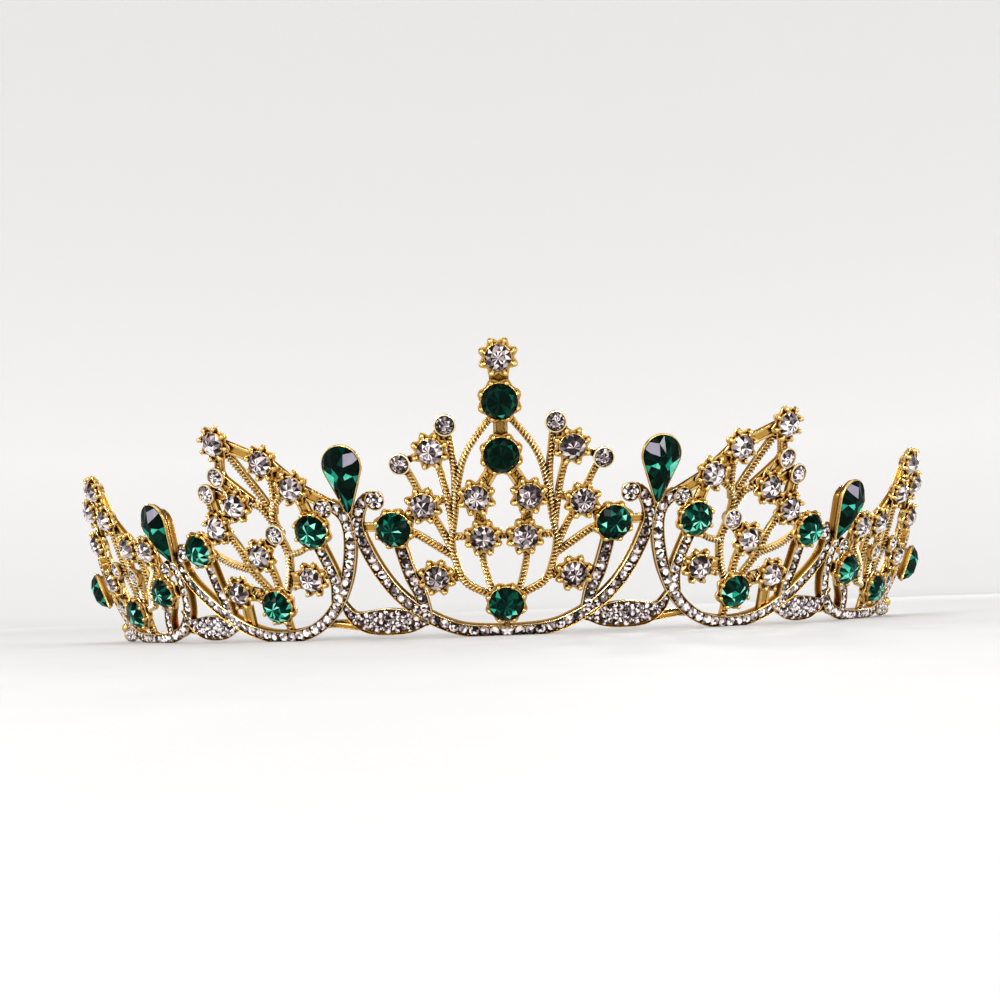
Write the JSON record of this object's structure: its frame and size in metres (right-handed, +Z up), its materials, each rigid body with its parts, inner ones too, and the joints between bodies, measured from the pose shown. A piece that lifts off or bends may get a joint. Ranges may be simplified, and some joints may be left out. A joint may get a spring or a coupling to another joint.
{
  "type": "bridal crown",
  "caption": "Open arc-shaped bridal crown of pierced gold medallions set with green and clear stones, with green pears between them, pave rims and a stem at each end.",
  "frame": {"origin": "middle of the front medallion's foot, on the surface that the crown stands on", "axes": "+Z up, -Y out of the front of the crown, +X to the right as seen from the front"},
  "size_m": [0.1926, 0.0835, 0.0506],
  "materials": {
    "gold": "polished yellow gold plate",
    "emerald": "foil-backed faceted green glass",
    "crystal": "foil-backed faceted clear glass"
  },
  "bodies": {
    "root": {"gold_frame": "gold", "front_clear_top": "crystal", "front_green_top": "emerald", "front_green_middle": "emerald", "front_green_foot": "emerald", "front_green_side_right": "emerald", "front_green_side_left": "emerald", "front_small_upper_right": "crystal", "front_small_upper_left": "crystal", "front_clear_upper_right": "crystal", "front_clear_upper_left": "crystal", "front_small_outer_right": "crystal", "front_small_outer_left": "crystal", "front_clear_outer_right": "crystal", "front_clear_outer_left": "crystal", "front_clear_inner_right": "crystal", "front_clear_inner_left": "crystal", "front_clear_lower_right": "crystal", "front_clear_lower_left": "crystal", "front_clear_foot_right": "crystal", "front_clear_foot_left": "crystal", "side_clear_top_right": "crystal", "side_clear_top_left": "crystal", "side_green_inner_right": "emerald", "side_green_inner_left": "emerald", "side_green_foot_right": "emerald", "side_green_foot_left": "emerald", "side_green_outer_right": "emerald", "side_green_outer_left": "emerald", "outer_green_inner_right": "emerald", "outer_green_inner_left": "emerald", "outer_green_foot_right": "emerald", "outer_green_foot_left": "emerald", "pear_front_right": "emerald", "pear_front_left": "emerald", "pear_side_right": "emerald", "pear_side_left": "emerald", "pear_end_right": "emerald", "pear_end_left": "emerald", "side_stones_right": "crystal", "side_stones_left": "crystal", "outer_stones_right": "crystal", "outer_stones_left": "crystal"}
  },
  "joints": []
}
